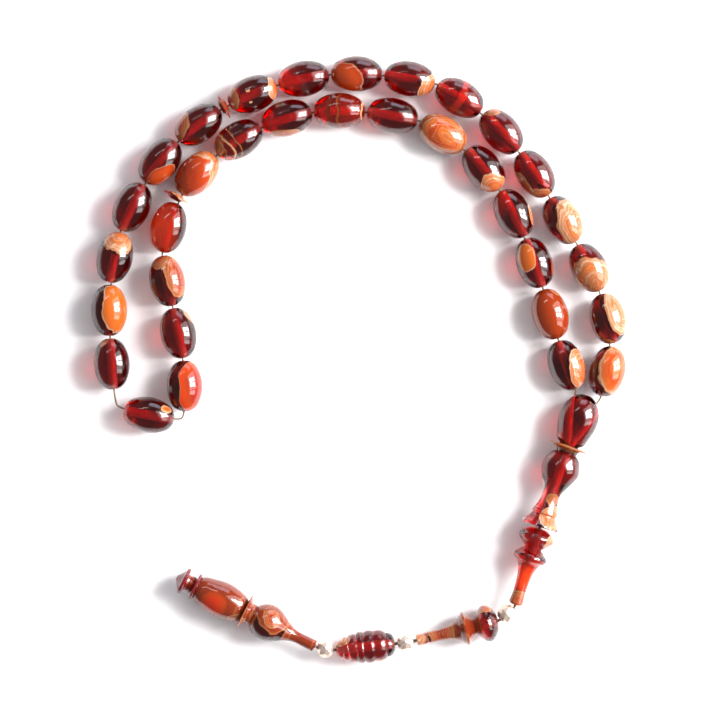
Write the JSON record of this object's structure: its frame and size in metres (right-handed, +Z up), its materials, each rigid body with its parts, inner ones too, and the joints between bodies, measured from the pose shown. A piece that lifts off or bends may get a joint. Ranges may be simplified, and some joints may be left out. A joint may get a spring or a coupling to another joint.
{
  "type": "misbaha prayer beads",
  "caption": "Misbaha prayer beads: a loop of polished oval beads on one cord, with divider discs, an imame and a tail of turned and faceted pieces.",
  "frame": {"origin": "centre of the bounding box in X and Y, on the plane the beads lie on", "axes": "+Z up from the plane it lies on; the loop is towards +Y and the tail towards -Y; the loose bead at the far end of the loop is towards -X"},
  "size_m": [0.1338, 0.1517, 0.01],
  "materials": {
    "bead_resin": "polished marbled resin, clear dark red with opaque orange and cream bands, no two beads alike",
    "tail_resin": "polished marbled resin, clear dark red and amber with brown, orange and cream bands",
    "cap_resin": "polished dark red-brown resin",
    "metal": "bright faceted metal with a champagne and rose-gold tint",
    "cord": "thin twisted brown cord"
  },
  "bodies": {
    "loop_near": {"loop_cord_near": "cord"},
    "loop_middle": {"loop_cord_middle": "cord"},
    "loop_far": {"loop_cord_far": "cord"},
    "loop_end": {"loop_cord_end": "cord"},
    "link_imame": {"imame": "tail_resin", "tail_cord_imame": "cord"},
    "link_1": {"tail_cord_1": "cord"},
    "link_2": {"tail_cord_2": "cord"},
    "link_3": {"tail_cord_3": "cord"},
    "link_4": {"tail_cord_4": "cord"},
    "link_5": {"tail_cord_5": "cord"},
    "link_6": {"tail_cord_6": "cord"},
    "link_7": {"tail_cord_7": "cord", "cord_knot": "cord"},
    "bead_01": {"bead_01": "bead_resin"},
    "bead_02": {"bead_02": "bead_resin"},
    "bead_03": {"bead_03": "bead_resin"},
    "bead_04": {"bead_04": "bead_resin"},
    "bead_05": {"bead_05": "bead_resin"},
    "bead_06": {"bead_06": "bead_resin"},
    "bead_07": {"bead_07": "bead_resin"},
    "bead_08": {"bead_08": "bead_resin"},
    "bead_09": {"bead_09": "bead_resin"},
    "bead_10": {"bead_10": "bead_resin"},
    "bead_11": {"bead_11": "bead_resin"},
    "bead_12": {"bead_12": "bead_resin"},
    "bead_13": {"bead_13": "bead_resin"},
    "bead_14": {"bead_14": "bead_resin"},
    "bead_15": {"bead_15": "bead_resin"},
    "bead_16": {"bead_16": "bead_resin"},
    "bead_17": {"bead_17": "bead_resin"},
    "bead_18": {"bead_18": "bead_resin"},
    "bead_19": {"bead_19": "bead_resin"},
    "bead_20": {"bead_20": "bead_resin"},
    "bead_21": {"bead_21": "bead_resin"},
    "bead_22": {"bead_22": "bead_resin"},
    "bead_23": {"bead_23": "bead_resin"},
    "bead_24": {"bead_24": "bead_resin"},
    "bead_25": {"bead_25": "bead_resin"},
    "bead_26": {"bead_26": "bead_resin"},
    "bead_27": {"bead_27": "bead_resin"},
    "bead_28": {"bead_28": "bead_resin"},
    "bead_29": {"bead_29": "bead_resin"},
    "bead_30": {"bead_30": "bead_resin"},
    "bead_31": {"bead_31": "bead_resin"},
    "bead_32": {"bead_32": "bead_resin"},
    "bead_33": {"bead_33": "bead_resin"},
    "divider_disc_1": {"divider_disc_1": "bead_resin"},
    "divider_disc_2": {"divider_disc_2": "bead_resin"},
    "tail_flange_bead_1": {"tail_flange_bead_1": "tail_resin"},
    "tail_metal_bead_1": {"tail_metal_bead_1": "metal"},
    "tail_flange_bead_2": {"tail_flange_bead_2": "tail_resin"},
    "tail_metal_bead_2": {"tail_metal_bead_2": "metal"},
    "tail_ribbed_bead": {"tail_ribbed_bead": "tail_resin"},
    "tail_metal_bead_3": {"tail_metal_bead_3": "metal"},
    "tail_end_piece": {"tail_end_piece": "tail_resin", "tail_end_cap": "cap_resin"}
  },
  "joints": [
    {"name": "fold_1", "type": "hinge", "parent": "loop_near", "child": "loop_middle", "pos_m": [0.0507, 0.0238, 0.0045], "axis": [0.6, 0.8, 0], "range_deg": [0, 25]},
    {"name": "fold_2", "type": "hinge", "parent": "loop_middle", "child": "loop_far", "pos_m": [0.01765, 0.0647, 0.0045], "axis": [0.4234, 0.9059, 0], "range_deg": [0, 25]},
    {"name": "fold_3", "type": "hinge", "parent": "loop_far", "child": "loop_end", "pos_m": [-0.0539, 0.0295, 0.0045], "axis": [-0.8734, 0.4871, 0], "range_deg": [0, 25]},
    {"name": "lift_imame", "type": "hinge", "parent": "loop_near", "child": "link_imame", "pos_m": [0.0578, -0.00825, 0.0045], "axis": [-0.9561, 0.293, 0], "range_deg": [0, 30]},
    {"name": "bend_1", "type": "hinge", "parent": "link_imame", "child": "link_1", "pos_m": [0.0457, -0.0414, 0.00502], "axis": [0, 0, 1], "range_deg": [-12, 12]},
    {"name": "lift_2", "type": "hinge", "parent": "link_1", "child": "link_2", "pos_m": [0.0394, -0.0614, 0.0047], "axis": [-0.6668, 0.7452, 0], "range_deg": [0, 20]},
    {"name": "bend_3", "type": "hinge", "parent": "link_2", "child": "link_3", "pos_m": [0.0356, -0.0648, 0.0047], "axis": [0, 0, 1], "range_deg": [-2, 55]},
    {"name": "lift_4", "type": "hinge", "parent": "link_3", "child": "link_4", "pos_m": [0.0145, -0.0699, 0.0047], "axis": [-0.1473, 0.9891, 0], "range_deg": [0, 25]},
    {"name": "bend_5", "type": "hinge", "parent": "link_4", "child": "link_5", "pos_m": [0.0098, -0.0706, 0.0047], "axis": [0, 0, 1], "range_deg": [-25, 30]},
    {"name": "lift_6", "type": "hinge", "parent": "link_5", "child": "link_6", "pos_m": [-0.0055, -0.0722, 0.0047], "axis": [0.1678, 0.9858, 0], "range_deg": [0, 20]},
    {"name": "bend_7", "type": "hinge", "parent": "link_6", "child": "link_7", "pos_m": [-0.0102, -0.0714, 0.0047], "axis": [0, 0, 1], "range_deg": [-12, 40]},
    {"name": "spin_bead_01", "type": "hinge", "parent": "loop_near", "child": "bead_01", "pos_m": [0.0626, -0.0026, 0.0045], "axis": [0.2494, 0.9684, 0], "continuous": true},
    {"name": "spin_bead_02", "type": "hinge", "parent": "loop_near", "child": "bead_02", "pos_m": [0.06275, 0.01065, 0.0045], "axis": [-0.227, 0.9739, 0], "continuous": true},
    {"name": "spin_bead_03", "type": "hinge", "parent": "loop_near", "child": "bead_03", "pos_m": [0.05805, 0.02335, 0.0045], "axis": [-0.4618, 0.887, 0], "continuous": true},
    {"name": "spin_bead_04", "type": "hinge", "parent": "loop_middle", "child": "bead_04", "pos_m": [0.0515, 0.0353, 0.0045], "axis": [-0.4993, 0.8664, 0], "continuous": true},
    {"name": "spin_bead_05", "type": "hinge", "parent": "loop_middle", "child": "bead_05", "pos_m": [0.0444, 0.0468, 0.0045], "axis": [-0.5513, 0.8343, 0], "continuous": true},
    {"name": "spin_bead_06", "type": "hinge", "parent": "loop_middle", "child": "bead_06", "pos_m": [0.0361, 0.0574, 0.0045], "axis": [-0.6771, 0.7359, 0], "continuous": true},
    {"name": "spin_bead_07", "type": "hinge", "parent": "loop_middle", "child": "bead_07", "pos_m": [0.02565, 0.06585, 0.0045], "axis": [-0.8614, 0.508, 0], "continuous": true},
    {"name": "spin_bead_08", "type": "hinge", "parent": "loop_far", "child": "bead_08", "pos_m": [0.0132, 0.07055, 0.0045], "axis": [-0.9825, 0.1861, 0], "continuous": true},
    {"name": "spin_bead_09", "type": "hinge", "parent": "loop_far", "child": "bead_09", "pos_m": [-0.0001, 0.07185, 0.0045], "axis": [-1, 0.0075, 0], "continuous": true},
    {"name": "spin_bead_10", "type": "hinge", "parent": "loop_far", "child": "bead_10", "pos_m": [-0.01335, 0.0706, 0.0045], "axis": [-0.9809, -0.1947, 0], "continuous": true},
    {"name": "spin_bead_11", "type": "hinge", "parent": "loop_far", "child": "bead_11", "pos_m": [-0.02608, 0.06672, 0.0045], "axis": [-0.9227, -0.3856, 0], "continuous": true},
    {"name": "spin_bead_12", "type": "hinge", "parent": "loop_far", "child": "bead_12", "pos_m": [-0.03961, 0.05912, 0.0045], "axis": [-0.809, -0.5878, 0], "continuous": true},
    {"name": "spin_bead_13", "type": "hinge", "parent": "loop_far", "child": "bead_13", "pos_m": [-0.0492, 0.04985, 0.0045], "axis": [-0.6175, -0.7866, 0], "continuous": true},
    {"name": "spin_bead_14", "type": "hinge", "parent": "loop_far", "child": "bead_14", "pos_m": [-0.05625, 0.03845, 0.0045], "axis": [-0.4262, -0.9046, 0], "continuous": true},
    {"name": "spin_bead_15", "type": "hinge", "parent": "loop_end", "child": "bead_15", "pos_m": [-0.06055, 0.0259, 0.0045], "axis": [-0.2177, -0.976, 0], "continuous": true},
    {"name": "spin_bead_16", "type": "hinge", "parent": "loop_end", "child": "bead_16", "pos_m": [-0.0619, 0.0127, 0.0045], "axis": [0.0149, -0.9999, 0], "continuous": true},
    {"name": "spin_bead_17", "type": "hinge", "parent": "loop_end", "child": "bead_17", "pos_m": [-0.0613, -0.00068, 0.0045], "axis": [0.0743, -0.9972, 0], "continuous": true},
    {"name": "spin_bead_18", "type": "hinge", "parent": "loop_end", "child": "bead_18", "pos_m": [-0.05204, -0.01344, 0.0045], "axis": [0.9803, -0.1974, 0], "continuous": true},
    {"name": "spin_bead_19", "type": "hinge", "parent": "loop_end", "child": "bead_19", "pos_m": [-0.04306, -0.0062, 0.0045], "axis": [-0.0211, 0.9998, 0], "continuous": true},
    {"name": "spin_bead_20", "type": "hinge", "parent": "loop_end", "child": "bead_20", "pos_m": [-0.04465, 0.007, 0.0045], "axis": [-0.2177, 0.976, 0], "continuous": true},
    {"name": "spin_bead_21", "type": "hinge", "parent": "loop_end", "child": "bead_21", "pos_m": [-0.0474, 0.02005, 0.0045], "axis": [-0.1947, 0.9809, 0], "continuous": true},
    {"name": "spin_bead_22", "type": "hinge", "parent": "loop_far", "child": "bead_22", "pos_m": [-0.0471, 0.03342, 0.0045], "axis": [0.2283, 0.9736, 0], "continuous": true},
    {"name": "spin_bead_23", "type": "hinge", "parent": "loop_far", "child": "bead_23", "pos_m": [-0.04, 0.04683, 0.0045], "axis": [0.6791, 0.734, 0], "continuous": true},
    {"name": "spin_bead_24", "type": "hinge", "parent": "loop_far", "child": "bead_24", "pos_m": [-0.02965, 0.0553, 0.0045], "axis": [0.8542, 0.5199, 0], "continuous": true},
    {"name": "spin_bead_25", "type": "hinge", "parent": "loop_far", "child": "bead_25", "pos_m": [-0.0175, 0.0607, 0.0045], "axis": [0.9586, 0.2846, 0], "continuous": true},
    {"name": "spin_bead_26", "type": "hinge", "parent": "loop_far", "child": "bead_26", "pos_m": [-0.0044, 0.0626, 0.0045], "axis": [1, 0, 0], "continuous": true},
    {"name": "spin_bead_27", "type": "hinge", "parent": "loop_far", "child": "bead_27", "pos_m": [0.0089, 0.06135, 0.0045], "axis": [0.9825, -0.1861, 0], "continuous": true},
    {"name": "spin_bead_28", "type": "hinge", "parent": "loop_middle", "child": "bead_28", "pos_m": [0.02145, 0.05675, 0.0045], "axis": [0.8714, -0.4906, 0], "continuous": true},
    {"name": "spin_bead_29", "type": "hinge", "parent": "loop_middle", "child": "bead_29", "pos_m": [0.0317, 0.0481, 0.0045], "axis": [0.63, -0.7766, 0], "continuous": true},
    {"name": "spin_bead_30", "type": "hinge", "parent": "loop_middle", "child": "bead_30", "pos_m": [0.0391, 0.03685, 0.0045], "axis": [0.4621, -0.8869, 0], "continuous": true},
    {"name": "spin_bead_31", "type": "hinge", "parent": "loop_middle", "child": "bead_31", "pos_m": [0.04435, 0.02455, 0.0045], "axis": [0.3207, -0.9472, 0], "continuous": true},
    {"name": "spin_bead_32", "type": "hinge", "parent": "loop_near", "child": "bead_32", "pos_m": [0.0483, 0.01175, 0.0045], "axis": [0.2688, -0.9632, 0], "continuous": true},
    {"name": "spin_bead_33", "type": "hinge", "parent": "loop_near", "child": "bead_33", "pos_m": [0.0524, -0.001, 0.0045], "axis": [0.3429, -0.9394, 0], "continuous": true},
    {"name": "spin_disc_1", "type": "hinge", "parent": "loop_far", "child": "divider_disc_1", "pos_m": [-0.0333, 0.0637, 0.0045], "axis": [-0.8717, -0.49, 0], "continuous": true},
    {"name": "spin_disc_2", "type": "hinge", "parent": "loop_far", "child": "divider_disc_2", "pos_m": [-0.0453, 0.0411, 0.0045], "axis": [0.4693, 0.8831, 0], "continuous": true},
    {"name": "spin_tail_flange_bead_1", "type": "hinge", "parent": "link_1", "child": "tail_flange_bead_1", "pos_m": [0.04255, -0.0514, 0.00486], "axis": [-0.3004, -0.9537, -0.0153], "continuous": true},
    {"name": "spin_tail_metal_bead_1", "type": "hinge", "parent": "link_2", "child": "tail_metal_bead_1", "pos_m": [0.0375, -0.0631, 0.0047], "axis": [-0.7452, -0.6668, 0], "continuous": true},
    {"name": "spin_tail_flange_bead_2", "type": "hinge", "parent": "link_3", "child": "tail_flange_bead_2", "pos_m": [0.02505, -0.06735, 0.0047], "axis": [-0.972, -0.2349, 0], "continuous": true},
    {"name": "spin_tail_metal_bead_2", "type": "hinge", "parent": "link_4", "child": "tail_metal_bead_2", "pos_m": [0.01215, -0.07025, 0.0047], "axis": [-0.9891, -0.1473, 0], "continuous": true},
    {"name": "spin_tail_ribbed_bead", "type": "hinge", "parent": "link_5", "child": "tail_ribbed_bead", "pos_m": [0.00215, -0.0714, 0.0047], "axis": [-0.9946, -0.104, 0], "continuous": true},
    {"name": "spin_tail_metal_bead_3", "type": "hinge", "parent": "link_6", "child": "tail_metal_bead_3", "pos_m": [-0.00785, -0.0718, 0.0047], "axis": [-0.9858, 0.1678, 0], "continuous": true},
    {"name": "spin_tail_end_piece", "type": "hinge", "parent": "link_7", "child": "tail_end_piece", "pos_m": [-0.0276, -0.0627, 0.0047], "axis": [-0.8944, 0.4472, 0], "continuous": true}
  ]
}
